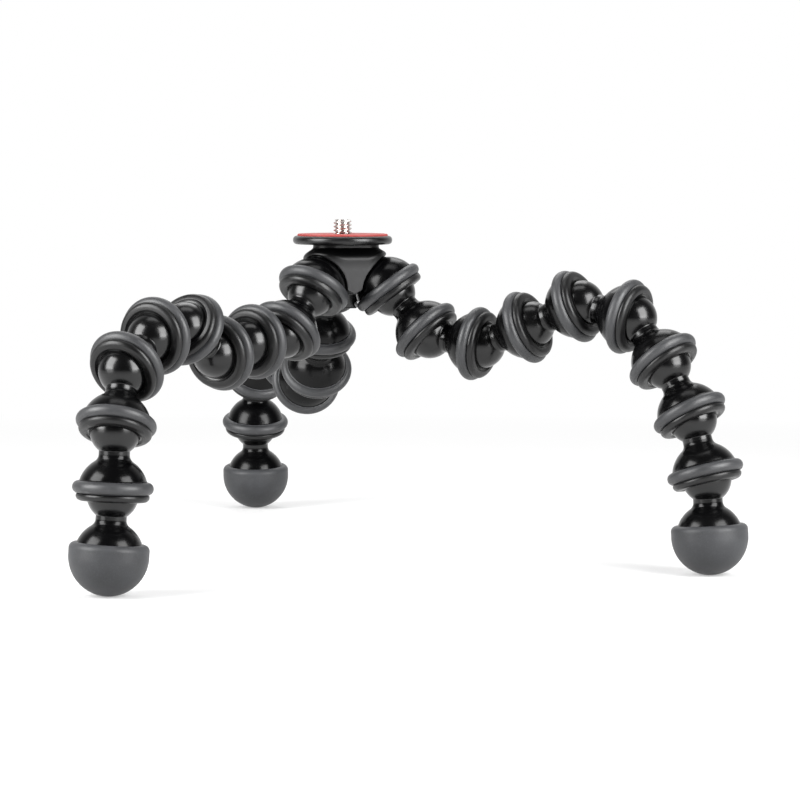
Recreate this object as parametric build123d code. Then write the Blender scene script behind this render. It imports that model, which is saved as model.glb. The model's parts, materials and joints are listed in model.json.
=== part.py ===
from build123d import *
from math import asin, cos, degrees, radians, sin, sqrt
import os

# Flexible leg tripod, in millimetres. The origin is the centre of the camera seat
# and +Z is up. The front facet of the hub faces -Y.

# Ball link
ball_radius = 8.0
ball_clearance = 0.05
neck_radius = 4.9
neck_length = 1.855            # straight part, from the ball to the fillet
neck_fillet = 1.5
dome_wall = 2.85               # outside of the cup beyond its bore
dome_set_back = 1.2            # centre of the dome, behind the centre of the next ball
mouth_height = 1.5             # where the bore of the cup ends, past the ball centre
mouth_bevel = 0.9              # widening of the bore at the mouth

# Rubber grip ring and the lip that holds it
ring_thickness = 3.9
ring_front = 0.3               # behind the ball centre
ring_depth = 3.25              # from its seat to its crown
ring_bulge = 1.8
seat_wall = 1.25               # of the cup under the ring
lip_reach = 2.1                # of the lip beyond the ring seat
lip_height = 2.0               # past the ball centre
lip_round = 1.4

# Foot
foot_cap_wall = 1.6
foot_cap_rim = 3.95            # rim above the centre of the foot
foot_rim_round = 1.9

# Camera seat
pad_radius = 15.5
pad_thickness = 0.7
pad_round = 0.4
disc_radius = 17.0
disc_thickness = 2.85
disc_round = 1.3
screw_radius = 3.175           # over the thread
screw_relief = 0.6             # depth of the plain shank below the seat, under the thread
screw_height = 4.9
screw_tip_chamfer = 0.6
screw_head_radius = 5.5
screw_head_height = 2.0
screw_clearance = 0.08
pad_hole_clearance = 0.25

# Hub
neck_inradius = 12.0           # flats of the rounded triangle under the disc
neck_corner_round = 11.6
neck_height = 0.9
skirt_height = 3.15
skirt_inradius = 14.4
skirt_corner_round = 13.9
facet_height = 12.7
facet_foot_inradius = 11.4
facet_foot_corner_round = 8.0
facet_waist_share = 0.45
facet_hollow = 0.75
boss_height = 5.1
boss_inradius = 6.0
boss_corner_round = 3.5
boss_chamfer = 0.6
socket_radius = 17.1           # ball centre of a hub socket, from the axis
socket_drop = 20.1             # below the camera seat
socket_set_back = 1.8          # centre of the socket dome, behind its ball centre
arch_clearance = 0.7           # between a socket dome and the facets that arch over it
arm_radius = 7.0
ring_relief = 0.35
cut_overrun = 40.0

# Pose of the stand. A socket or link points along an azimuth, counted from +X to +Y,
# and a drop below the horizontal, both in degrees.
socket_drop_angle = 53.5
socket_azimuth_angles = {"right": -30.0, "left": -150.0, "back": 90.0}
link_azimuth_angles = {
    "right": [-47, -50, -52, -53, -54, -61, -61, -62],
    "left": [-149, -144, -143, -144, -141, -138, -125, -148],
    "back": [78, 74, 81, 82, 85, 86, 86, 73],
}
link_drop_angles = {
    "right": [45, 8, -21, -22, 12, 48, 73],
    "left": [41, 5, 8, -29, 7, 28, 86],
    "back": [60, 39, 14, -22, -24, 13, 76],
}
landing_link_number = 7        # not in the drops: this link turns until its foot lands
foot_azimuth_angles = {"right": -68, "left": -168, "back": 63}
foot_drop_angle = 85.5
stand_share = 2.88             # drop from the first to the last ball, in link pitches

upward = (Align.CENTER, Align.CENTER, Align.MIN)
downward = (Align.CENTER, Align.CENTER, Align.MAX)

BLACK = Color(0.06, 0.06, 0.065)
RUBBER = Color(0.24, 0.25, 0.26)
RED = Color(0.75, 0.22, 0.2)
STEEL = Color(0.7, 0.7, 0.72)

disc_top = -pad_thickness
disc_bottom = disc_top - disc_thickness
bore_radius = ball_radius + ball_clearance
mouth_bevel_radius = bore_radius + mouth_bevel
dome_radius = bore_radius + dome_wall
neck_end = sqrt(ball_radius**2 - neck_radius**2) + neck_length
dome_rise = sqrt((dome_radius + neck_fillet)**2 - (neck_radius + neck_fillet)**2)
dome_reach = neck_end + dome_rise
link_pitch = dome_reach + dome_set_back
seat_radius = bore_radius + seat_wall
lip_radius = seat_radius + lip_reach
ring_outer_radius = seat_radius + ring_depth
ring_shoulder_radius = ring_outer_radius - ring_bulge
ring_back = ring_front + ring_thickness
foot_cap_radius = dome_radius + foot_cap_wall


def heading(azimuth, drop):
    """Unit vector for an azimuth and a drop below the horizontal."""
    flat = cos(radians(drop))
    return Vector(flat * cos(radians(azimuth)), flat * sin(radians(azimuth)), -sin(radians(drop)))


def leg_drops(leg):
    """Drops of the links of one leg, with the one that brings the foot to the common floor."""
    drops = list(link_drop_angles[leg])
    landing = asin(stand_share - sum(sin(radians(drop)) for drop in drops))
    drops.insert(landing_link_number - 1, degrees(landing))
    return drops


def leg_chain(leg):
    """Ball centres and headings of the links of one leg, the foot last."""
    azimuth = socket_azimuth_angles[leg]
    centre = socket_radius * heading(azimuth, 0) - Vector(0, 0, socket_drop)
    chain = []
    for turn, drop in zip(link_azimuth_angles[leg], leg_drops(leg)):
        way = heading(turn, drop)
        chain.append((centre, way))
        centre = centre + link_pitch * way
    chain.append((centre, heading(foot_azimuth_angles[leg], foot_drop_angle)))
    return chain


def placed(solid, centre, way):
    """Moves a solid drawn along +Z to a centre, pointing along a heading."""
    return Plane(origin=centre, z_dir=way) * solid


def spin(edges):
    """Solid of revolution about Z from a closed outline drawn in X and Z."""
    return revolve(make_face(edges), Axis.Z)


def at(radius, height):
    """Point of an outline, given by its radius and height."""
    return (radius, 0, height)


def neck_edges():
    """Ball, neck and fillet, up to the dome."""
    root = at(neck_radius, sqrt(ball_radius**2 - neck_radius**2))
    end = at(neck_radius, neck_end)
    reach = dome_radius + neck_fillet
    out = neck_radius + neck_fillet
    lean = at(out / reach * dome_radius, dome_reach - dome_rise / reach * dome_radius)
    middle = Vector(-1, 0, 0) + Vector(-out / reach, 0, dome_rise / reach)
    hollow = Vector(out, 0, neck_end) + neck_fillet * middle.normalized()
    edges = [
        ThreePointArc(at(0, -ball_radius), at(ball_radius, 0), root),
        Line(root, end),
        ThreePointArc(end, hollow, lean),
    ]
    return edges, lean


def mouth_edges(base):
    """Ring seat, lip, bevel and bore of a cup whose ball centre is at a height."""
    back = base - ring_back
    front = base - ring_front
    top = base + lip_height
    bend = lip_round * (1 - sqrt(0.5))
    mouth_radius = sqrt(bore_radius**2 - mouth_height**2)
    rim = lip_radius - lip_round
    return [
        Line(at(seat_radius, back), at(seat_radius, front)),
        Line(at(seat_radius, front), at(lip_radius, front)),
        Line(at(lip_radius, front), at(lip_radius, top - lip_round)),
        ThreePointArc(at(lip_radius, top - lip_round), at(lip_radius - bend, top - bend), at(rim, top)),
        Line(at(rim, top), at(mouth_bevel_radius, top)),
        Line(at(mouth_bevel_radius, top), at(mouth_radius, base + mouth_height)),
        ThreePointArc(
            at(mouth_radius, base + mouth_height), at(bore_radius, base), at(0, base - bore_radius)
        ),
    ]


def ball_link():
    """One link: ball, neck, dome and the cup for the next ball."""
    edges, lean = neck_edges()
    back = link_pitch - ring_back
    shoulder = sqrt(dome_radius**2 - (ring_back - dome_set_back)**2)
    mean = (lean[0] + shoulder) / 2
    bulge = at(mean, dome_reach - sqrt(dome_radius**2 - mean**2))
    edges += [
        ThreePointArc(lean, bulge, at(shoulder, back)),
        Line(at(shoulder, back), at(seat_radius, back)),
    ]
    edges += mouth_edges(link_pitch)
    edges.append(Line(at(0, link_pitch - bore_radius), at(0, -ball_radius)))
    return spin(edges)


def grip_ring(base):
    """Rubber ring round a cup whose ball centre is at a height."""
    back = base - ring_back
    front = base - ring_front
    crown = at(ring_outer_radius, (back + front) / 2)
    return spin([
        Line(at(seat_radius, front), at(seat_radius, back)),
        Line(at(seat_radius, back), at(ring_shoulder_radius, back)),
        ThreePointArc(at(ring_shoulder_radius, back), crown, at(ring_shoulder_radius, front)),
        Line(at(ring_shoulder_radius, front), at(seat_radius, front)),
    ])


def foot_link():
    """Last link: ball, neck and the round core of the foot."""
    edges, lean = neck_edges()
    pole = at(0, dome_reach + dome_radius)
    edges += [
        ThreePointArc(lean, at(dome_radius, dome_reach), pole),
        Line(pole, at(0, -ball_radius)),
    ]
    return spin(edges)


def foot_cap():
    """Rubber cap over the core of the foot."""
    rim = dome_reach - foot_cap_rim
    inner = sqrt(dome_radius**2 - foot_cap_rim**2)
    bend = foot_rim_round * (1 - sqrt(0.5))
    wall = foot_cap_radius - foot_rim_round
    slant = sqrt(0.5) * foot_cap_radius
    pole = at(0, dome_reach + foot_cap_radius)
    shoulder = at(foot_cap_radius, rim + foot_rim_round)
    equator = at(foot_cap_radius, dome_reach)
    core_pole = at(0, dome_reach + dome_radius)
    return spin([
        Line(at(inner, rim), at(wall, rim)),
        ThreePointArc(at(wall, rim), at(foot_cap_radius - bend, rim + bend), shoulder),
        Line(shoulder, equator),
        ThreePointArc(equator, at(slant, dome_reach + slant), pole),
        Line(pole, core_pole),
        ThreePointArc(core_pole, at(dome_radius, dome_reach), at(inner, rim)),
    ])


def triangle(height, inradius, corner_round):
    """Rounded triangle with its flats between the sockets, at a height."""
    flat = RegularPolygon(inradius, 3, major_radius=False, rotation=90)
    flat = fillet(flat.vertices(), corner_round)
    return Plane(origin=(0, 0, height)) * flat


def hub_core():
    """Neck, flare, three facets and boss of the hub, before the sockets."""
    skirt_top = disc_bottom - neck_height
    facet_top = skirt_top - skirt_height
    facet_foot = facet_top - facet_height
    waist = facet_top - facet_waist_share * facet_height
    middle = skirt_inradius + facet_waist_share * (facet_foot_inradius - skirt_inradius) - facet_hollow
    bend = skirt_corner_round + facet_waist_share * (facet_foot_corner_round - skirt_corner_round)
    neck_top = triangle(disc_bottom, neck_inradius, neck_corner_round)
    neck_foot = triangle(skirt_top, neck_inradius, neck_corner_round)
    skirt = triangle(facet_top, skirt_inradius, skirt_corner_round)
    hollow = triangle(waist, middle, bend)
    tip = triangle(facet_foot, facet_foot_inradius, facet_foot_corner_round)
    core = loft([neck_top, neck_foot], ruled=True)
    core += loft([neck_foot, skirt], ruled=True)
    core += loft([skirt, hollow, tip])
    boss = extrude(triangle(facet_foot, boss_inradius, boss_corner_round), -boss_height)
    return core + chamfer(boss.faces().sort_by(Axis.Z)[0].edges(), boss_chamfer)


def socket_dome():
    """Outside of a hub socket, with its arm toward the axis, ball centre at zero."""
    crown = -socket_set_back
    front = -ring_front
    slant = sqrt(0.5) * dome_radius
    shell = spin([
        ThreePointArc(at(0, crown - dome_radius), at(slant, crown - slant), at(dome_radius, crown)),
        Line(at(dome_radius, crown), at(dome_radius, front)),
        Line(at(dome_radius, front), at(0, front)),
        Line(at(0, front), at(0, crown - dome_radius)),
    ])
    arm = Cylinder(arm_radius, socket_radius, align=downward)
    return shell + Pos(0, 0, crown) * arm


def socket_mouth():
    """Lip of a hub socket as a solid plug, and the groove, bore and bevel as a cutter."""
    front = -ring_front
    plug = spin([
        Line(at(0, front), at(lip_radius, front)),
        *mouth_edges(0)[2:5],
        Line(at(mouth_bevel_radius, lip_height), at(0, lip_height)),
        Line(at(0, lip_height), at(0, front)),
    ])
    mouth_radius = sqrt(bore_radius**2 - mouth_height**2)
    bevel = Cone(mouth_radius, mouth_bevel_radius, lip_height - mouth_height, align=upward)
    bore = Sphere(bore_radius) + Pos(0, 0, mouth_height) * bevel
    groove = Cylinder(ring_outer_radius, ring_thickness, align=downward)
    groove -= Cylinder(seat_radius, ring_thickness, align=downward)
    return plug, bore + Pos(0, 0, front) * groove


def arch_cutter():
    """Space that the facets leave open round a socket dome, its lip and its ring."""
    crown = -socket_set_back
    wide = dome_radius + arch_clearance
    relief = ring_outer_radius + ring_relief
    cutter = Pos(0, 0, crown) * (Sphere(wide) + Cylinder(wide, cut_overrun, align=upward))
    return cutter + Pos(0, 0, -ring_back - ring_relief) * Cylinder(relief, cut_overrun, align=upward)


def hub_sockets():
    """Ball centre and heading of each of the three hub sockets."""
    rows = []
    for azimuth in socket_azimuth_angles.values():
        centre = socket_radius * heading(azimuth, 0) - Vector(0, 0, socket_drop)
        rows.append((centre, heading(azimuth, socket_drop_angle)))
    return rows


def hub_body():
    """Hub with three sockets and a pocket for the head of the camera screw."""
    body = hub_core()
    plug, bore = socket_mouth()
    for centre, way in hub_sockets():
        body -= placed(arch_cutter(), centre, way)
    lid = extrude(triangle(disc_bottom, neck_inradius + cut_overrun, neck_corner_round), cut_overrun)
    for centre, way in hub_sockets():
        body += placed(socket_dome(), centre, way) - lid
    for centre, way in hub_sockets():
        body += placed(plug, centre, way)
    for centre, way in hub_sockets():
        body -= placed(bore, centre, way)
    pocket_radius = screw_head_radius + screw_clearance
    pocket = Cylinder(pocket_radius, screw_head_height, align=downward)
    return body - Pos(0, 0, disc_bottom) * pocket


def platform_disc():
    """Round disc under the camera, with a fully rounded rim."""
    disc = Cylinder(disc_radius, disc_thickness, align=downward)
    disc = fillet(disc.edges().filter_by(GeomType.CIRCLE), disc_round)
    hole = Cylinder(screw_radius + screw_clearance, disc_thickness, align=downward)
    return Pos(0, 0, disc_top) * (disc - hole)


def seat_pad():
    """Thin rubber pad that the camera rests on."""
    pad = Cylinder(pad_radius, pad_thickness, align=downward)
    pad = fillet(pad.edges().group_by(Axis.Z)[-1], pad_round)
    return pad - Cylinder(screw_radius + pad_hole_clearance, pad_thickness, align=downward)


def camera_screw():
    """Camera screw with its flat head captive under the disc."""
    thread = Cylinder(screw_radius, screw_height, align=upward)
    thread = chamfer(thread.edges().group_by(Axis.Z)[-1], screw_tip_chamfer)
    shank = Cylinder(screw_radius - screw_relief, -disc_bottom, align=downward)
    head = Cylinder(screw_head_radius, screw_head_height, align=downward)
    return thread + shank + Pos(0, 0, disc_bottom) * head


def save(shape, name, color):
    """Writes one node, with its name and color."""
    shape.label = name
    shape.color = color
    export_step(shape, "parts/" + name + ".step")


os.makedirs("parts", exist_ok=True)
save(hub_body(), "hub_body", BLACK)
save(platform_disc(), "platform_disc", BLACK)
save(seat_pad(), "seat_pad", RED)
save(camera_screw(), "camera_screw", STEEL)
socket_rings = [placed(grip_ring(0), centre, way) for centre, way in hub_sockets()]
save(Compound(children=socket_rings), "socket_grip_rings", RUBBER)

link_solid = ball_link()
ring_solid = grip_ring(link_pitch)
foot_solid = foot_link()
cap_solid = foot_cap()
for leg in socket_azimuth_angles:
    chain = leg_chain(leg)
    for number, (centre, way) in enumerate(chain[:-1], 1):
        save(placed(link_solid, centre, way), f"{leg}_link_{number}", BLACK)
        save(placed(ring_solid, centre, way), f"{leg}_grip_ring_{number}", RUBBER)
    save(placed(foot_solid, *chain[-1]), f"{leg}_foot_link", BLACK)
    save(placed(cap_solid, *chain[-1]), f"{leg}_foot_cap", RUBBER)
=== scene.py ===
import json
import math
from itertools import product

import bpy
import numpy as np
from mathutils import Matrix, Vector


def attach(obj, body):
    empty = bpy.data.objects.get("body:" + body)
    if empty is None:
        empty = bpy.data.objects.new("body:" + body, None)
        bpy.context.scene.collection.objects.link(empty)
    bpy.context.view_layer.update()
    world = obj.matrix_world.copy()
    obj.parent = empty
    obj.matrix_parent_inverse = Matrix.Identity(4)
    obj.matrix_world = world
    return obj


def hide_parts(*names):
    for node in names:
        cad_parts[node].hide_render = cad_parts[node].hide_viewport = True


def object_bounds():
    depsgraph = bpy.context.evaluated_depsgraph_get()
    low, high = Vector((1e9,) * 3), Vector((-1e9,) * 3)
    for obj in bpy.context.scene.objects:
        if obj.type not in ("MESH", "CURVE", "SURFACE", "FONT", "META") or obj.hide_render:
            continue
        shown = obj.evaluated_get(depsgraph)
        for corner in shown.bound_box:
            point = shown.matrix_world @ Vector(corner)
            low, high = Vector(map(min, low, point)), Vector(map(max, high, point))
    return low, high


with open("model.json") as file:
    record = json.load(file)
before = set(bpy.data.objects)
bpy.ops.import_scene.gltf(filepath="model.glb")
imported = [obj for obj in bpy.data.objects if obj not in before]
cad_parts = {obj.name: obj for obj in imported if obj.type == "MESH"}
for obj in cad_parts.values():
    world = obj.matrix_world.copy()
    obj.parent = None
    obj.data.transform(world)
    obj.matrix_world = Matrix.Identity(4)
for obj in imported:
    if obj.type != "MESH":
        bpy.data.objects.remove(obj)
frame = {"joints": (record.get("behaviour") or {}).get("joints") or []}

cad_low, cad_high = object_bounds()

# Sizes are in millimetres and angles in degrees, as in the CAD, until a piece is placed.
# Z = 0 is the camera seat, and each leg piece is drawn with its own ball at the origin.

MM = 0.001
LEGS = ("right", "left", "back")
LINKS = 8
FOOT_HEADINGS = {"right": (-68, 85.5), "left": (-168, 85.5), "back": (63, 85.5)}
SOCKET_AZIMUTHS = (-30.0, -150.0, 90.0)
SOCKET_DROP_ANGLE = 53.5
SOCKET_RADIUS = 17.1
SOCKET_DROP = 20.1
SOCKET_SET_BACK = 1.8

# A link: PITCH is from its ball to the next, DOME_REACH from its ball to its dome's centre.
PITCH = 19.9995
BALL = 8.0
BORE = 8.05
DOME_REACH = 18.7995
DOME = 10.9
NECK = 4.82
FILLET = 2.4
# A cup: heights of its bead are below the middle of its bore, that of its lip is above it.
RING_SEAT = 9.3
RING_BACK = 4.2
RING_FRONT = 0.3
LIP_ROUND = 1.65
LIP_TOP = 2.0

CAP = 12.5
CAP_RIM = 3.95
CAP_ROUND = 1.9
PAD = 15.5
PAD_LOW = -0.7
DISC = 17.0
DISC_ROUND = 1.3
DISC_LOW = -3.55
SCREW_HEAD_LOW = -5.55
SCREW_TOP = 4.9
TURN_STEPS = 112

JOINTS = {joint["name"]: Vector(joint["pos_m"]) for joint in frame["joints"]}


def heading(azimuth, drop):
    """Unit vector for an azimuth and a drop below the horizontal."""
    a, d = math.radians(azimuth), math.radians(drop)
    return Vector((math.cos(d) * math.cos(a), math.cos(d) * math.sin(a), -math.sin(d)))


def placed(name, data):
    """Adds an object to the scene."""
    made = bpy.data.objects.new(name, data)
    bpy.context.scene.collection.objects.link(made)
    return made


# Materials

def node(tree, kind, **values):
    """Adds a shader node and sets its properties and input values."""
    made = tree.nodes.new(kind)
    for key, value in values.items():
        if key in made.inputs:
            made.inputs[key].default_value = value
        else:
            setattr(made, key, value)
    return made


def noise(tree, coordinates, scale, detail=4.0, roughness=0.5):
    """A noise texture on the object's own coordinates."""
    made = node(tree, "ShaderNodeTexNoise", Scale=scale, Detail=detail, Roughness=roughness)
    tree.links.new(coordinates, made.inputs["Vector"])
    return made.outputs["Fac"]


def pointiness(tree):
    """High on raised edges and low in hollows."""
    return tree.nodes.new("ShaderNodeNewGeometry").outputs["Pointiness"]


def ramp(tree, factor, low, high, out_low, out_high):
    """Maps a value from one range to another, clamped."""
    made = tree.nodes.new("ShaderNodeMapRange")
    made.inputs["From Min"].default_value = low
    made.inputs["From Max"].default_value = high
    made.inputs["To Min"].default_value = out_low
    made.inputs["To Max"].default_value = out_high
    tree.links.new(factor, made.inputs["Value"])
    return made.outputs["Result"]


def mixed(tree, factor, first, second):
    """Mixes two colours; each is a colour or a socket."""
    made = tree.nodes.new("ShaderNodeMix")
    made.data_type = "RGBA"
    tree.links.new(factor, made.inputs[0])
    for socket, value in ((made.inputs[6], first), (made.inputs[7], second)):
        if isinstance(value, tuple):
            socket.default_value = (*value, 1.0)
        else:
            tree.links.new(value, socket)
    return made.outputs[2]


def mixed_shader(tree, factor, first, second):
    """Mixes two shaders."""
    made = tree.nodes.new("ShaderNodeMixShader")
    for socket, value in zip(made.inputs, (factor, first, second)):
        tree.links.new(value, socket)
    return made.outputs[0]


def added(tree, first, second, operation="ADD"):
    """Combines two sockets, or a socket and a number."""
    made = tree.nodes.new("ShaderNodeMath")
    made.operation = operation
    tree.links.new(first, made.inputs[0])
    if isinstance(second, float):
        made.inputs[1].default_value = second
    else:
        tree.links.new(second, made.inputs[1])
    return made.outputs[0]


def bumped(tree, shader, height, strength, distance):
    """Feeds a height to the shader's normal."""
    bump = node(tree, "ShaderNodeBump", Strength=strength, Distance=distance)
    tree.links.new(height, bump.inputs["Height"])
    tree.links.new(bump.outputs["Normal"], shader.inputs["Normal"])


def material(name, **values):
    """A Principled material with its object coordinates."""
    made = bpy.data.materials.new(name)
    made.use_nodes = True
    tree = made.node_tree
    shader = tree.nodes["Principled BSDF"]
    for key, value in values.items():
        shader.inputs[key.replace("_", " ")].default_value = value
    coordinates = tree.nodes.new("ShaderNodeTexCoord").outputs["Object"]
    return made, tree, shader, coordinates


def moulded_plastic(name, dark, light, rough, peel, scuff=0.1, shine=0.5):
    """Black moulded plastic with orange peel, handling marks and rubbed edges."""
    made, tree, shader, place = material(name, IOR=1.5, Specular_IOR_Level=shine)
    cloud = noise(tree, place, 90.0, 3.0)
    fine = noise(tree, place, 1500.0, 3.0)
    smear = ramp(tree, noise(tree, place, 260.0, 5.0, 0.62), 0.48, 0.72, 0.0, 1.0)
    edge = ramp(tree, pointiness(tree), 0.515, 0.60, 0.0, 1.0)
    worn = added(tree, edge, smear, "MULTIPLY")
    base = mixed(tree, ramp(tree, cloud, 0.35, 0.65, 0.0, 1.0), dark, light)
    rubbed = tuple(min(1.0, c * 2.6 + 0.012) for c in light)
    tree.links.new(mixed(tree, worn, base, rubbed), shader.inputs["Base Color"])
    spread = ramp(tree, cloud, 0.3, 0.7, rough * 0.85, rough * 1.15)
    spread = added(tree, spread, added(tree, smear, scuff, "MULTIPLY"))
    spread = added(tree, spread, added(tree, worn, 0.25, "MULTIPLY"))
    tree.links.new(spread, shader.inputs["Roughness"])
    bumped(tree, shader, fine, peel, 0.00003)
    return made


def paint_shade_on_top(made, low, high, dark, rough):
    """Paints shade over a moulded finish towards the top, between two heights, and makes it glossier
    there.
    """
    tree = made.node_tree
    shader = tree.nodes["Principled BSDF"]
    height = tree.nodes.new("ShaderNodeSeparateXYZ")
    tree.links.new(tree.nodes.new("ShaderNodeTexCoord").outputs["Object"], height.inputs[0])
    shade_share = ramp(tree, height.outputs["Z"], low, high, 0.0, 1.0)
    base, spread = shader.inputs["Base Color"], shader.inputs["Roughness"]
    tree.links.new(mixed(tree, shade_share, base.links[0].from_socket, dark), base)
    blend = node(tree, "ShaderNodeMix")
    tree.links.new(shade_share, blend.inputs[0])
    tree.links.new(spread.links[0].from_socket, blend.inputs[2])
    blend.inputs[3].default_value = rough
    tree.links.new(blend.outputs[0], spread)


def soft_rubber(name, dark, light, rough, grain, grain_scale, lift=1.4, shine=0.45):
    """Matte moulded rubber with a fine grain, mottling and paler rubbed edges."""
    made, tree, shader, place = material(name, IOR=1.5, Specular_IOR_Level=shine)
    mottle = noise(tree, place, 120.0, 4.0, 0.6)
    speck = noise(tree, place, grain_scale, 2.0, 0.6)
    pit = node(tree, "ShaderNodeTexVoronoi", Scale=grain_scale * 0.55)
    tree.links.new(place, pit.inputs["Vector"])
    pale = tuple(min(1.0, c * lift) for c in light)
    rubbed = tuple(min(1.0, c * (2 * lift - 1)) for c in light)
    base = mixed(tree, ramp(tree, mottle, 0.35, 0.68, 0.0, 1.0), dark, light)
    base = mixed(tree, ramp(tree, speck, 0.52, 0.74, 0.0, 0.45), base, pale)
    edge = ramp(tree, pointiness(tree), 0.52, 0.60, 0.0, 0.8)
    tree.links.new(mixed(tree, edge, base, rubbed), shader.inputs["Base Color"])
    tree.links.new(ramp(tree, mottle, 0.3, 0.7, rough - 0.05, rough + 0.07), shader.inputs["Roughness"])
    height = added(tree, speck, ramp(tree, pit.outputs["Distance"], 0.0, 0.6, 0.0, 0.6))
    bumped(tree, shader, height, grain, 0.00006)
    return made


def bright_steel(name):
    """Bright turned steel with fine turning lines, light stains and painted shade in the thread grooves.
    """
    made, tree, shader, place = material(name, Metallic=1.0, IOR=2.5)
    stain = noise(tree, place, 500.0, 4.0, 0.6)
    lines = node(tree, "ShaderNodeTexWave", Scale=2600.0, Distortion=1.5)
    lines.wave_type = "BANDS"
    lines.bands_direction = "Z"
    tree.links.new(place, lines.inputs["Vector"])
    cloudy = ramp(tree, stain, 0.35, 0.7, 0.0, 1.0)
    base = mixed(tree, cloudy, (0.66, 0.64, 0.61), (0.80, 0.79, 0.77))
    # Painted shade: the hollows of the thread darken to a dark brown.
    groove = ramp(tree, pointiness(tree), 0.40, 0.50, 1.0, 0.0)
    tree.links.new(mixed(tree, groove, base, (0.16, 0.13, 0.11)), shader.inputs["Base Color"])
    tree.links.new(ramp(tree, stain, 0.3, 0.7, 0.16, 0.30), shader.inputs["Roughness"])
    bumped(tree, shader, lines.outputs["Fac"], 0.12, 0.00001)
    return made


deep_black, soft_black = (0.0014, 0.0014, 0.0016), (0.0028, 0.0028, 0.0030)
ball_gloss = moulded_plastic(
    "ball_gloss", (0.0018, 0.0018, 0.0020), (0.0032, 0.0032, 0.0034), rough=0.22, peel=0.05, scuff=0.05
)
dome_gloss = moulded_plastic("dome_gloss", deep_black, soft_black, rough=0.20, peel=0.08, shine=0.22)
hub_gloss = moulded_plastic("hub_gloss", deep_black, soft_black, rough=0.20, peel=0.08, shine=0.22)
# The facets are rougher, and their grey base paints in a reflection on the hub's black plastic.
hub_facets_painted_sheen = moulded_plastic(
    "hub_facets_painted_sheen", (0.052, 0.052, 0.053), (0.066, 0.066, 0.067), rough=0.46, peel=0.12, shine=0.24
)
# Painted shade: the facets turn near black towards their top, between these two heights.
paint_shade_on_top(hub_facets_painted_sheen, -12.0 * MM, -7.2 * MM, (0.001, 0.001, 0.0011), 0.36)
lip_satin = moulded_plastic(
    "lip_satin", (0.0030, 0.0030, 0.0032), (0.0058, 0.0058, 0.0061), rough=0.36, peel=0.20, shine=0.46
)
disc_satin = moulded_plastic(
    "disc_satin", (0.0040, 0.0040, 0.0043), (0.0070, 0.0070, 0.0074), rough=0.30, peel=0.25
)
grey_rubber = soft_rubber(
    "grey_rubber", (0.025, 0.026, 0.028), (0.036, 0.037, 0.040), 0.47, 0.30, 2600.0, shine=0.78
)
# A paler copy of the bead rubber: a painted highlight along each bead's back corner.
bead_painted_highlight = soft_rubber("bead_painted_highlight", (0.085, 0.087, 0.091), (0.12, 0.122, 0.127), 0.50, 0.30, 2600.0)
foot_rubber = soft_rubber("foot_rubber", (0.042, 0.043, 0.046), (0.056, 0.058, 0.062), 0.48, 0.26, 2400.0)
red_rubber = soft_rubber(
    "red_rubber", (0.36, 0.050, 0.045), (0.43, 0.064, 0.057), 0.55, 0.35, 2200.0, lift=1.12
)
steel = bright_steel("bright_steel")


# Turned forms. An outline is a list of (radius, height, material number), from pole to pole,
# or once round where it is closed.

def arc(radius, height, size, start, end, steps, finish=0):
    """Points of an arc, its angles counted from the outward direction towards +Z."""
    points = []
    for step in range(steps + 1):
        a = math.radians(start + (end - start) * step / steps)
        points.append((max(0.0, radius + size * math.cos(a)), height + size * math.sin(a), finish))
    return points


def turned_faces(low, high):
    """Faces between two rings of vertices, either of which may be a single pole."""
    faces = []
    if len(low) == len(high) == 1:
        return faces
    for i in range(TURN_STEPS):
        j = (i + 1) % TURN_STEPS
        if len(low) == 1:
            faces.append((low[0], high[j], high[i]))
        elif len(high) == 1:
            faces.append((low[i], low[j], high[0]))
        else:
            faces.append((low[i], low[j], high[j], high[i]))
    return faces


def lathe(name, outline, materials, way=Vector((0, 0, 1)), centre=Vector((0, 0, 0)), closed=False):
    """Turns an outline about Z, then stands it at a centre along a heading, in metres."""
    angles = np.linspace(0.0, 2 * math.pi, TURN_STEPS, endpoint=False)
    verts, faces, finishes, rings = [], [], [], []
    for radius, height, _ in outline:
        first = len(verts)
        if radius < 1e-6:
            rings.append([first])
            verts.append((0.0, 0.0, height))
        else:
            rings.append(list(range(first, first + TURN_STEPS)))
            verts += [(radius * math.cos(a), radius * math.sin(a), height) for a in angles]
    pairs = list(zip(range(len(outline) - 1), range(1, len(outline))))
    if closed:
        pairs.append((len(outline) - 1, 0))
    for low, high in pairs:
        made = turned_faces(rings[low], rings[high])
        faces += made
        finishes += [outline[high][2]] * len(made)
    mesh = bpy.data.meshes.new(name)
    mesh.from_pydata(verts, [], faces)
    for finish in materials:
        mesh.materials.append(finish)
    mesh.polygons.foreach_set("material_index", finishes)
    mesh.polygons.foreach_set("use_smooth", [True] * len(faces))
    turn = way.to_track_quat("Z", "Y").to_matrix().to_4x4()
    mesh.transform(Matrix.Translation(centre) @ turn @ Matrix.Scale(MM, 4))
    mesh.update()
    return placed(name, mesh)


def neck_outline():
    """Ball, neck and a wide fillet up to the dome, with the angle at which the dome begins."""
    root = math.degrees(math.acos(NECK / BALL))
    reach, out = DOME + FILLET, NECK + FILLET
    rise = math.sqrt(reach**2 - out**2)
    tangent = math.degrees(math.atan2(rise, -out))
    points = arc(0, 0, BALL, -90, root, 52, 0)
    points += [(NECK, 6.5, 0), (NECK, DOME_REACH - rise - 0.1, 0)]
    points += arc(out, DOME_REACH - rise, FILLET, 180, tangent, 16, 1)
    return points, math.degrees(math.atan2(-rise, out))


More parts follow.
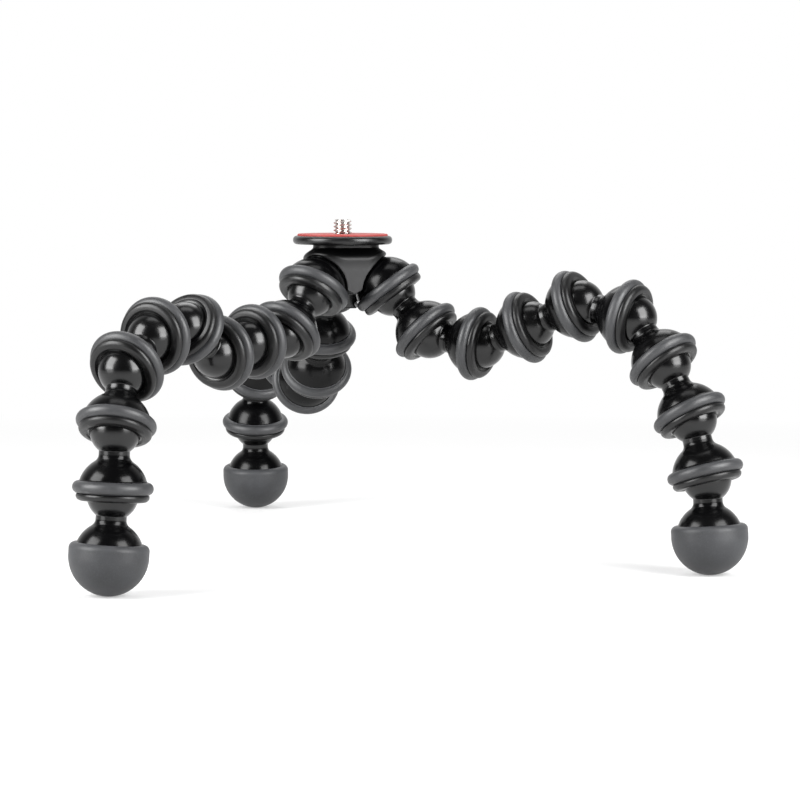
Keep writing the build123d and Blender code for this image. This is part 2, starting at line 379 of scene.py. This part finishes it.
def link_outline():
    """Ball link: ball, neck, dome, ring seat, lip and the bore of its cup."""
    points, start = neck_outline()
    back, front = PITCH - RING_BACK, PITCH - RING_FRONT
    points += arc(0, DOME_REACH, DOME, start, -17.2, 26, 1)[1:]
    points += arc(10.24, back - 0.2, 0.2, -8, 90, 6, 1)
    points += [(RING_SEAT + 0.02, back, 1), (RING_SEAT, back + 0.05, 2)]
    points += [(RING_SEAT, front - 0.05, 2), (RING_SEAT + 0.06, front, 2), (10.8, front, 2)]
    points += arc(10.85, front + 0.5, 0.5, -90, 0, 6, 2)
    points += arc(9.75, PITCH + 0.3, LIP_ROUND, 3, 80, 18, 2)
    points += [(9.3, PITCH + LIP_TOP, 2), (9.12, PITCH + LIP_TOP, 2)]
    points += arc(9.06, PITCH + LIP_TOP - 0.14, 0.14, 90, 154, 4, 2)
    points += [(8.3, PITCH + 1.67, 2), (7.96, PITCH + 1.51, 0)]
    points += arc(0, PITCH, BORE, 10.8, -90, 40, 0)
    return points


def ring_outline(base):
    """Rubber bead with a flat at each side and a soft corner where it meets the flat."""
    middle = base - (RING_BACK + RING_FRONT) / 2
    half = (RING_BACK - RING_FRONT) / 2
    low, high = middle - half, middle + half
    points = [(9.32, low, 0), (9.6, low, 0), (10.2, low, 0)]
    # The back corner takes finish 1, paler rubber that paints a highlight line along it.
    points += arc(10.5, low + 0.18, 0.18, -90, -40, 4, 1)
    points += arc(10.594, middle, 1.956, -80, 80, 30, 0)
    points += arc(10.35, high - 0.14, 0.14, 60, 90, 3, 0)
    points += [(10.2, high, 0), (9.6, high, 0), (9.32, high, 0)]
    return points


def foot_outline():
    """Foot link: ball, neck and the round core of the foot."""
    points, start = neck_outline()
    return points + arc(0, DOME_REACH, DOME, start, 90, 50, 1)[1:]


def cap_outline():
    """Rubber cap: rim, outside and the inside against the core."""
    rim = DOME_REACH - CAP_RIM
    points = [(10.2, rim + 0.10, 0), (10.28, rim + 0.02, 0), (10.4, rim, 0)]
    points += arc(CAP - CAP_ROUND, rim + CAP_ROUND, CAP_ROUND, -90, 0, 14, 0)
    points += [(CAP, rim + 2.2, 0), (CAP, DOME_REACH - 0.2, 0)]
    points += arc(0, DOME_REACH, CAP, 0, 90, 56, 0)
    points += arc(0, DOME_REACH, DOME + 0.02, 90, -20.9, 30, 0)
    return points


def bind(piece, body, cad):
    """Rides a piece on its body and puts it in place of its CAD node."""
    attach(piece, body)
    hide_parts(cad)


def leg_chain(leg):
    """Ball centres of the joints of one leg, and the heading of each piece after them."""
    centres = [JOINTS[f"{leg}_ball_joint_{number}"] for number in range(1, LINKS + 2)]
    ways = [(after - before).normalized() for before, after in zip(centres, centres[1:])]
    return list(zip(centres, ways + [heading(*FOOT_HEADINGS[leg])]))


def bead(name, base, way, centre):
    """One rubber bead, its back corner in paler rubber as a painted highlight."""
    return lathe(name, ring_outline(base), [grey_rubber, bead_painted_highlight], way, centre, closed=True)


def build_leg(leg):
    """Eight links with their rings, and the foot with its cap."""
    chain = leg_chain(leg)
    link_finishes = [ball_gloss, dome_gloss, lip_satin]
    for number, (centre, way) in enumerate(chain[:-1], 1):
        body = f"{leg}_segment_{number}"
        link = lathe(f"{leg}_ball_link_{number}", link_outline(), link_finishes, way, centre)
        ring = bead(f"{leg}_rubber_bead_{number}", PITCH, way, centre)
        bind(link, body, f"{leg}_link_{number}")
        bind(ring, body, f"{leg}_grip_ring_{number}")
    centre, way = chain[-1]
    foot = lathe(f"{leg}_foot_stem", foot_outline(), [ball_gloss, dome_gloss], way, centre)
    cap = lathe(f"{leg}_rubber_foot", cap_outline(), [foot_rubber], way, centre)
    bind(foot, f"{leg}_foot", f"{leg}_foot_link")
    bind(cap, f"{leg}_foot", f"{leg}_foot_cap")


# Camera seat

def disc_outline():
    """Platform disc with a fully rounded rim and a hole for the screw."""
    edge = DISC - DISC_ROUND
    points = [(3.3, PAD_LOW - 0.1, 0), (3.4, PAD_LOW, 0), (3.6, PAD_LOW, 0), (15.4, PAD_LOW, 0)]
    points += arc(edge, PAD_LOW - DISC_ROUND, DISC_ROUND, 90, 0, 12, 0)
    points += [(DISC, DISC_LOW + 1.4, 0)]
    points += arc(edge, DISC_LOW + DISC_ROUND, DISC_ROUND, 0, -90, 12, 0)
    points += [(15.5, DISC_LOW, 0), (3.5, DISC_LOW, 0), (3.3, DISC_LOW + 0.1, 0)]
    return points


def pad_outline():
    """Rubber pad with a soft rim and one shallow moulded groove near the rim."""
    points = [(3.45, PAD_LOW, 0), (PAD - 0.1, PAD_LOW, 0), (PAD, PAD_LOW + 0.08, 0), (PAD, -0.45, 0)]
    points += arc(PAD - 0.4, -0.4, 0.4, 0, 90, 8, 0)
    points += [(14.9, 0.0, 0), (14.45, 0.0, 0), (14.35, -0.03, 0), (14.25, -0.13, 0), (14.1, -0.16, 0)]
    points += [(13.95, -0.13, 0), (13.85, -0.03, 0), (13.75, 0.0, 0), (4.1, 0.0, 0)]
    points += arc(3.75, -0.3, 0.3, 90, 180, 6, 0)
    return points


def thread_radius(height, angle):
    """Radius of the screw's surface: a 60 degree thread that runs out in the tip's chamfer."""
    pitch, outer, depth, chamfer_start = 1.27, 3.175, 0.72, 4.3
    phase = (height / pitch - angle / (2 * math.pi)) % 1.0
    flank = abs(phase - 0.5) * 2
    hollow = min(1.0, max(0.0, (flank - 0.12) / 0.72))
    tip = outer - max(0.0, height - chamfer_start) * 1.1
    return min(outer - depth * hollow, tip)


def screw_rows(turns):
    """Heights of the screw's rings of vertices, each with its radii, from the head to the tip."""
    rises, shank, shank_top = 130, 2.6, -0.1
    head = [(5.5, SCREW_HEAD_LOW), (5.5, -3.6), (5.4, DISC_LOW), (shank, DISC_LOW)]
    relief = [(2.575, -3.45), (2.575, -0.12)]
    rows = [(height, [radius] * len(turns)) for radius, height in head + relief]
    for k in range(rises + 1):
        height = shank_top + (SCREW_TOP - shank_top) * k / rises
        if height > -0.05:
            radii = [thread_radius(max(height, 0.0), t) for t in turns]
        else:
            radii = [shank] * len(turns)
        rows.append((height, radii))
    rows.append((SCREW_TOP, [2.1] * len(turns)))
    return rows


def threaded_screw():
    """Camera screw: threaded shank, plain relief under the seat and a flat head below the disc."""
    steps = 96
    turns = [2 * math.pi * i / steps for i in range(steps)]
    rows = screw_rows(turns)
    verts = [(0, 0, SCREW_HEAD_LOW)]
    for height, radii in rows:
        verts += [(radius * math.cos(t), radius * math.sin(t), height) for radius, t in zip(radii, turns)]
    verts.append((0, 0, SCREW_TOP - 0.02))
    faces = [(0, 1 + (i + 1) % steps, 1 + i) for i in range(steps)]
    for row in range(len(rows) - 1):
        a, b = 1 + row * steps, 1 + (row + 1) * steps
        faces += [(a + i, a + (i + 1) % steps, b + (i + 1) % steps, b + i) for i in range(steps)]
    last = 1 + (len(rows) - 1) * steps
    faces += [(last + i, last + (i + 1) % steps, len(verts) - 1) for i in range(steps)]
    mesh = bpy.data.meshes.new("threaded_screw")
    mesh.from_pydata(verts, [], faces)
    mesh.materials.append(steel)
    mesh.polygons.foreach_set("use_smooth", [True] * len(faces))
    mesh.transform(Matrix.Scale(MM, 4))
    mesh.set_sharp_from_angle(angle=math.radians(40))
    return placed("threaded_screw", mesh)


# Hub: a signed distance in millimetres, meshed by surface nets and moved onto the exact surface

TOP_Z, NECK_Z, SKIRT_Z, TIP_Z, BOSS_Z = -3.55, -4.9, -7.2, -20.3, -25.4
NECK_INRADIUS, NECK_CORNER = 9.3, 6.1
FLARE_INRADIUS, FLARE_CORNER = 1.39, 0.97
SKIRT_LIMIT = 15.2

FACET_AZIMUTHS = (-90.0, 30.0, 150.0)
FACET_INRADII = (13.3, 12.4, 11.4)
FACET_CORNERS = (10.7, 9.8, 8.0)
FACET_WAIST = 0.45
FACET_INSET = 0.07
TIP_SLOPE = 0.52
BOSS_INRADIUS, BOSS_CORNER, BOSS_ROOT_Z = 6.0, 3.5, -14.0

ARCH, RELIEF, RELIEF_BACK = 11.6, 12.9, 4.55
ARM, ARM_LENGTH = 5.0, 12.5
CUP_LIP, CUP_LIP_ROUND = 11.4, 1.4
MOUTH, MOUTH_HEIGHT, MOUTH_SLOPE = 7.909, 1.5, 2.08
POCKET, POCKET_DEPTH = 5.58, 2.0

GRID_LOW, GRID_HIGH = (-29.5, -27.5, -30.5), (29.5, 30.5, -2.9)
GRID_SPACING, QUICK_SPACING = 0.32, 0.55


def soft_max(a, b, k):
    """Largest of two distances with a blend of width k."""
    h = np.clip(0.5 + 0.5 * (a - b) / k, 0.0, 1.0)
    return b + (a - b) * h + k * h * (1.0 - h)


def soft_min(a, b, k):
    """Smallest of two distances with a blend of width k."""
    return -soft_max(-a, -b, k)


def rounded_triangle(p, inradius, corner):
    """Distance to a rounded triangle with its corners over the sockets."""
    a = inradius - corner
    best = np.full(len(p), 1e9)
    inside = np.full(len(p), -1e9)
    for azimuth in FACET_AZIMUTHS:
        t = math.radians(azimuth)
        along = p[:, 1] * math.cos(t) - p[:, 0] * math.sin(t)
        away = p[:, 0] * math.cos(t) + p[:, 1] * math.sin(t) - a
        over = along - np.clip(along, -a * math.sqrt(3), a * math.sqrt(3))
        best = np.minimum(best, np.hypot(away, over))
        inside = np.maximum(inside, away)
    return np.where(inside < 0, inside, best) - corner


def facet_side(p):
    """Distance from the middle line of the nearest facet."""
    side, nearest = np.zeros(len(p)), np.full(len(p), -1e9)
    for azimuth in FACET_AZIMUTHS:
        t = math.radians(azimuth)
        away = p[:, 0] * math.cos(t) + p[:, 1] * math.sin(t)
        side = np.where(away > nearest, np.abs(p[:, 1] * math.cos(t) - p[:, 0] * math.sin(t)), side)
        nearest = np.maximum(away, nearest)
    return side


def facet_size(z):
    """Inradius and corner radius of the facets at a height, a curve through three sizes."""
    t = np.clip((SKIRT_Z - z) / (SKIRT_Z - TIP_Z), -0.2, 1.2)
    sizes = []
    for top, middle, foot in (FACET_INRADII, FACET_CORNERS):
        upper = top * (t - FACET_WAIST) * (t - 1) / FACET_WAIST
        centre = middle * t * (t - 1) / (FACET_WAIST * (FACET_WAIST - 1))
        lower = foot * t * (t - FACET_WAIST) / (1 - FACET_WAIST)
        sizes.append(upper + centre + lower)
    return sizes


def socket_places():
    """Centre and heading of each socket."""
    rows = []
    for azimuth in SOCKET_AZIMUTHS:
        centre = SOCKET_RADIUS * heading(azimuth, 0) - Vector((0, 0, SOCKET_DROP))
        rows.append((np.array(centre), np.array(heading(azimuth, SOCKET_DROP_ANGLE))))
    return rows


def socket_views(p):
    """For each socket, how far along its axis a point lies and how far away from it."""
    views = []
    for centre, way in socket_places():
        q = p - centre
        along = q @ way
        views.append((along, np.sqrt(np.maximum(0.0, (q * q).sum(1) - along**2))))
    return views


def domed(along, away, radius):
    """Distance to a cylinder round a socket's axis, with a round end behind the socket."""
    crown = along + SOCKET_SET_BACK
    return np.where(crown > 0, away, np.hypot(away, crown)) - radius


def arch_distance(views):
    """Distance to the arches, which leave an even gap round the domes and room for the beads."""
    arch = np.full(len(views[0][0]), 1e9)
    for along, away in views:
        relief = np.maximum(away - RELIEF, -RELIEF_BACK - along)
        arch = np.minimum(arch, np.minimum(domed(along, away, ARCH), relief))
    return arch


def skirt_distance(p):
    """Distance to the skirt, which widens below the neck up to a round limit."""
    widen = soft_max(np.clip(NECK_Z - p[:, 2], -3.0, 6.0), np.zeros(len(p)), 0.4)
    inradius, corner = NECK_INRADIUS + FLARE_INRADIUS * widen, NECK_CORNER + FLARE_CORNER * widen
    skirt = rounded_triangle(p, inradius, corner)
    return soft_max(skirt, np.hypot(p[:, 0], p[:, 1]) - SKIRT_LIMIT, 1.0)


def facet_distance(p, arch):
    """Distance to the facets, a touch lower inside than along the edges of the arches."""
    z = p[:, 2]
    rim = np.clip((arch - 0.75) / 0.45, 0.0, 1.0)
    rim = rim * rim * (3 - 2 * rim)
    below = np.clip((SKIRT_Z - 1.1 - z) / 0.5, 0.0, 1.0)
    return rounded_triangle(p, *facet_size(z)) + FACET_INSET * rim * below * (3 - 2 * below)


def core_distance(p, arch):
    """Distance to the skirt and facets with their V-shaped tips, cut by the arches."""
    z = p[:, 2]
    core = soft_max(skirt_distance(p), facet_distance(p, arch), 2.2)
    core = soft_max(core, z - TOP_Z, 0.15)
    core = soft_max(core, (TIP_Z + TIP_SLOPE * facet_side(p) - z) * 0.887, 0.4)
    return soft_max(core, -arch, 0.45)


def boss_distance(p, arch):
    """Distance to the boss under the hub."""
    z = p[:, 2]
    boss = rounded_triangle(p, BOSS_INRADIUS, BOSS_CORNER)
    boss = soft_max(boss, np.maximum(BOSS_Z - z, z - BOSS_ROOT_Z), 0.5)
    return soft_max(boss, -arch, 0.45)


def cup_distance(along, away, z):
    """Distance to a cup: its dome, and the arm that carries it."""
    crown = along + SOCKET_SET_BACK
    dome = soft_max(domed(along, away, DOME), along + RING_FRONT, 0.1)
    arm = soft_max(away - ARM, np.maximum(crown, -ARM_LENGTH - crown), 0.2)
    return soft_max(soft_min(dome, arm, 0.4), z - TOP_Z, 0.15)


def lip_distance(along, away):
    """Distance to a cup's rounded lip, in front of its bead."""
    over, past = away - (CUP_LIP - CUP_LIP_ROUND), along - (LIP_TOP - CUP_LIP_ROUND)
    corner = np.hypot(np.maximum(over, 0.0), np.maximum(past, 0.0))
    lip = corner + np.minimum(np.maximum(over, past), 0.0) - CUP_LIP_ROUND
    return soft_max(lip, -RING_FRONT - along, 0.15)


def hollowed(whole, along, away):
    """Cuts a cup's bore with its bevelled mouth, and the groove for its bead."""
    bevel = (away - MOUTH - (along - MOUTH_HEIGHT) * MOUTH_SLOPE) * 0.433
    bore = np.minimum(np.hypot(away, along) - BORE, np.maximum(bevel, MOUTH_HEIGHT - 0.1 - along))
    between = np.maximum(-RING_BACK - along, along + RING_FRONT)
    groove = np.maximum(np.maximum(RING_SEAT - away, away - 13.0), between)
    return soft_max(soft_max(whole, -bore, 0.12), -groove, 0.06)


def hub_distance(p):
    """Distance to the whole hub."""
    z = p[:, 2]
    views = socket_views(p)
    arch = arch_distance(views)
    whole = soft_min(core_distance(p, arch), boss_distance(p, arch), 0.3)
    for along, away in views:
        whole = soft_min(whole, cup_distance(along, away, z), 0.35)
    for along, away in views:
        whole = np.minimum(whole, lip_distance(along, away))
    for along, away in views:
        whole = hollowed(whole, along, away)
    pocket = np.maximum(np.hypot(p[:, 0], p[:, 1]) - POCKET, TOP_Z - POCKET_DEPTH - z)
    return soft_max(whole, -pocket, 0.08)


def gradient(p, step=0.01):
    """Slope of the hub's distance."""
    rows = []
    for axis in range(3):
        shift = np.zeros(3)
        shift[axis] = step
        rows.append((hub_distance(p + shift) - hub_distance(p - shift)) / (2 * step))
    return np.stack(rows, axis=1)


def grid_values(axes):
    """The hub's distance at every point of a grid, one layer at a time."""
    values = np.empty(tuple(len(a) for a in axes), np.float32)
    x, y = np.meshgrid(axes[0], axes[1], indexing="ij")
    for k, z in enumerate(axes[2]):
        p = np.stack([x.ravel(), y.ravel(), np.full(x.size, z)], axis=1)
        values[:, :, k] = hub_distance(p).reshape(x.shape)
    return values


def edge_ends(axis, across):
    """Slices of the two ends of every grid edge along an axis."""
    one, two = [across] * 3, [across] * 3
    one[axis], two[axis] = slice(0, -1), slice(1, None)
    return tuple(one), tuple(two)


def cell_corner(cells, shifts):
    """Slices of one corner of every cell."""
    return tuple(slice(shift, shift + count) for shift, count in zip(shifts, cells))


def crossing_sums(values, cells):
    """For each cell, the sum of its edge crossings from its low corner, and their number."""
    total = np.zeros(cells + (3,), np.float32)
    crossings = np.zeros(cells, np.int8)
    for axis in range(3):
        one, two = edge_ends(axis, slice(None))
        a, b = values[one], values[two]
        cross = (a < 0) != (b < 0)
        t = np.where(cross, a / np.where(cross, a - b, 1), 0)
        others = [i for i in range(3) if i != axis]
        for shifts in product((0, 1), repeat=3):
            if shifts[axis]:
                continue
            corner = cell_corner(cells, shifts)
            c = cross[corner]
            crossings += c
            total[..., axis] += t[corner] * c
            for other in others:
                total[..., other] += shifts[other] * c
    return total, crossings


def net_quads(solid, index):
    """A quad round every grid edge that crosses the surface, facing outward."""
    quads = []
    for axis in range(3):
        u, v = [i for i in range(3) if i != axis]
        one, two = edge_ends(axis, slice(1, -1))
        a, b = solid[one], solid[two]
        base = np.argwhere(a != b)
        base[:, (u, v)] += 1
        corners = []
        for du, dv in ((-1, -1), (0, -1), (0, 0), (-1, 0)):
            c = base.copy()
            c[:, u] += du
            c[:, v] += dv
            corners.append(index[c[:, 0], c[:, 1], c[:, 2]])
        quad = np.stack(corners, axis=1)
        outward = a[a != b] if axis != 1 else ~a[a != b]
        quad[~outward] = quad[~outward][:, ::-1]
        quads.append(quad)
    return np.concatenate(quads)


def surface_net(low, high, spacing):
    """Vertices and quads of the hub's surface on a grid."""
    values = grid_values([np.arange(a, b + spacing, spacing) for a, b in zip(low, high)])
    solid = values < 0
    cells = tuple(n - 1 for n in values.shape)
    count = np.zeros(cells, np.int8)
    for shifts in product((0, 1), repeat=3):
        count += solid[cell_corner(cells, shifts)]
    total, crossings = crossing_sums(values, cells)
    active = (count > 0) & (count < 8)
    index = np.full(cells, -1, np.int64)
    index[active] = np.arange(active.sum())
    offset = total[active] / np.maximum(crossings[active], 1)[:, None]
    verts = np.array(low) + (np.argwhere(active) + offset) * spacing
    return verts, net_quads(solid, index)


def settled(verts, spacing):
    """Moves the net's vertices onto the exact surface, in four capped steps."""
    for _ in range(4):
        slope = gradient(verts)
        size = np.maximum((slope**2).sum(1), 0.05)
        step = np.clip(hub_distance(verts) / size, -0.3 * spacing, 0.3 * spacing)
        verts = verts - slope * step[:, None]
    return verts


def hub_finishes(middle):
    """Finish of each face: 0 gloss, 1 lip, 2 bore, 3 satin facets, with a painted reflection and painted
    shade at their top.
    """
    finish = np.full(len(middle), 3, np.int32)
    finish[middle[:, 2] < TIP_Z - 0.3] = 0
    for along, away in socket_views(middle):
        finish[np.hypot(away, np.minimum(along + SOCKET_SET_BACK, 0.0)) < 11.5] = 0
        finish[(along > -0.4) & (away > 7.9) & (away < 11.6)] = 1
        finish[np.hypot(along, away) < 8.3] = 2
    return finish


def hub_piece():
    """The hub's shell, with its exact normals."""
    spacing = GRID_SPACING
    verts, quads = surface_net(GRID_LOW, GRID_HIGH, spacing)
    verts = settled(verts, spacing)
    mesh = bpy.data.meshes.new("hub_shell")
    mesh.from_pydata((verts * MM).tolist(), [], quads.tolist())
    mesh.polygons.foreach_set("use_smooth", [True] * len(quads))
    for finish in (hub_gloss, lip_satin, ball_gloss, hub_facets_painted_sheen):
        mesh.materials.append(finish)
    mesh.polygons.foreach_set("material_index", hub_finishes(verts[quads].mean(axis=1)))
    mesh.update()
    normals = gradient(verts)
    normals /= np.maximum(np.linalg.norm(normals, axis=1), 1e-6)[:, None]
    mesh.normals_split_custom_set_from_vertices(normals.tolist())
    return placed("hub_shell", mesh)


def build_hub():
    """Hub shell, its three rubber beads, the disc, the pad and the screw."""
    hub = hub_piece()
    disc = lathe("seat_disc", disc_outline(), [disc_satin], closed=True)
    pad = lathe("rubber_pad", pad_outline(), [red_rubber], closed=True)
    screw = threaded_screw()
    bind(hub, "hub", "hub_body")
    bind(disc, "hub", "platform_disc")
    bind(pad, "hub", "seat_pad")
    bind(screw, "hub", "camera_screw")
    for number, (centre, way) in enumerate(socket_places(), 1):
        ring = bead(f"socket_bead_{number}", 0.0, Vector(way), Vector(centre) * MM)
        bind(ring, "hub", "socket_grip_rings")


build_hub()
for leg in LEGS:
    build_leg(leg)


# Floor, lamps, world and camera. The camera's place and angles come from the photograph.

YAW, TILT, ROLL = math.radians(-22.6), math.radians(4.34), math.radians(0.11)
RIGHT = Vector((math.cos(YAW), math.sin(YAW), 0.0))
AHEAD = Vector((-math.sin(YAW), math.cos(YAW), 0.0))
UP = Vector((0.0, 0.0, 1.0))
CAMERA_PLACE = (-0.4037, -1.0213, 0.0262)
CAMERA_LENS = 144.0
LAMPS_AIM = Vector((0, 0, -0.06))


def floor_material():
    """Pale near the object, where it takes the shadow, and plain white further out."""
    made = bpy.data.materials.new("pale_floor")
    made.use_nodes = True
    tree = made.node_tree
    tree.nodes.clear()
    out = tree.nodes.new("ShaderNodeOutputMaterial")
    length = node(tree, "ShaderNodeVectorMath", operation="LENGTH")
    tree.links.new(tree.nodes.new("ShaderNodeTexCoord").outputs["Object"], length.inputs[0])
    far = ramp(tree, length.outputs["Value"], 0.22, 0.6, 0.0, 1.0)
    matte = node(tree, "ShaderNodeBsdfDiffuse", Color=(0.62, 0.62, 0.62, 1.0))
    near_glow = node(tree, "ShaderNodeEmission", Strength=0.36)
    near = tree.nodes.new("ShaderNodeAddShader")
    tree.links.new(matte.outputs[0], near.inputs[0])
    tree.links.new(near_glow.outputs[0], near.inputs[1])
    white = node(tree, "ShaderNodeEmission", Strength=1.0)
    seen = mixed_shader(tree, far, near.outputs[0], white.outputs[0])
    path = tree.nodes.new("ShaderNodeLightPath")
    direct = added(tree, path.outputs["Is Camera Ray"], path.outputs["Is Glossy Ray"])
    direct = added(tree, direct, path.outputs["Is Transmission Ray"])
    bounce = node(tree, "ShaderNodeBsdfDiffuse", Color=(0.28, 0.28, 0.28, 1.0))
    tree.links.new(mixed_shader(tree, direct, bounce.outputs[0], seen), out.inputs["Surface"])
    return made


def stage_floor():
    """A plain pale floor that keeps the object's shadow and fades into the background."""
    count, low = 96, cad_low[2]
    verts = [(0, 0, low)]
    for radius in (0.5, 3.0):
        turns = (2 * math.pi * i / count for i in range(count))
        verts += [(radius * math.cos(t), radius * math.sin(t), low) for t in turns]
    pairs = [(i, (i + 1) % count) for i in range(count)]
    faces = [(0, 1 + i, 1 + j) for i, j in pairs]
    faces += [(1 + i, 1 + count + i, 1 + count + j, 1 + j) for i, j in pairs]
    mesh = bpy.data.meshes.new("floor")
    mesh.from_pydata(verts, [], faces)
    mesh.materials.append(floor_material())
    placed("floor", mesh)


def lamp(name, azimuth, elevation, distance, width, height, radiance):
    """A softbox facing the object, its azimuth counted from the camera's side to its right."""
    a, e = math.radians(azimuth), math.radians(elevation)
    side = -AHEAD * math.cos(a) + RIGHT * math.sin(a)
    way = side * math.cos(e) + UP * math.sin(e)
    data = bpy.data.lights.new(name, "AREA")
    data.shape = "RECTANGLE"
    data.size, data.size_y = width, height
    data.energy = radiance * math.pi * width * height
    made = placed(name, data)
    made.location = LAMPS_AIM + way * distance
    made.rotation_mode = "QUATERNION"
    made.rotation_quaternion = way.to_track_quat("Z", "Y")
    made.visible_camera = False


def studio_world():
    """White behind the object and to the camera, dim elsewhere for reflections and fill."""
    world = bpy.data.worlds.new("studio")
    bpy.context.scene.world = world
    world.use_nodes = True
    tree = world.node_tree
    tree.nodes.clear()
    out = tree.nodes.new("ShaderNodeOutputWorld")
    facing = node(tree, "ShaderNodeVectorMath", operation="DOT_PRODUCT")
    tree.links.new(tree.nodes.new("ShaderNodeTexCoord").outputs["Generated"], facing.inputs[0])
    facing.inputs[1].default_value = tuple(AHEAD)
    wall = ramp(tree, facing.outputs["Value"], 0.25, 0.85, 0.0, 1.0)
    back = node(tree, "ShaderNodeBackground", Color=(1, 1, 1, 1), Strength=0.05)
    bright = node(tree, "ShaderNodeBackground", Color=(1, 1, 1, 1), Strength=1.0)
    room = mixed_shader(tree, wall, back.outputs[0], bright.outputs[0])
    path = tree.nodes.new("ShaderNodeLightPath")
    seen = added(tree, path.outputs["Is Camera Ray"], path.outputs["Is Transmission Ray"])
    tree.links.new(mixed_shader(tree, seen, room, bright.outputs[0]), out.inputs["Surface"])


def photo_camera():
    """Camera at the photograph's angle."""
    data = bpy.data.cameras.new("photo_camera")
    data.sensor_width = 36.0
    data.lens = CAMERA_LENS
    data.clip_end = 20.0
    ahead = AHEAD * math.cos(TILT) - UP * math.sin(TILT)
    level = AHEAD * math.sin(TILT) + UP * math.cos(TILT)
    right = RIGHT * math.cos(ROLL) + level * math.sin(ROLL)
    top = level * math.cos(ROLL) - RIGHT * math.sin(ROLL)
    columns = Matrix((right, top, -ahead)).transposed().to_4x4()
    made = placed("photo_camera", data)
    made.matrix_world = Matrix.Translation(CAMERA_PLACE) @ columns
    bpy.context.scene.camera = made


stage_floor()
studio_world()
# Name, azimuth, elevation, distance, width, height, radiance
lamp("softbox_left", -60.0, 27.0, 0.75, 0.43, 0.54, 10.0)
lamp("softbox_right", 50.0, 25.0, 0.75, 0.43, 0.54, 10.0)
lamp("card_left", -55.0, 4.0, 0.75, 0.36, 0.26, 3.0)
lamp("card_right", 48.0, 4.0, 0.75, 0.36, 0.26, 3.0)
lamp("softbox_above", 0.0, 88.0, 0.80, 0.50, 0.26, 2.2)
lamp("softbox_behind", 180.0, 50.0, 0.90, 0.60, 0.40, 2.5)
photo_camera()
bpy.context.scene.view_settings.view_transform = "Standard"
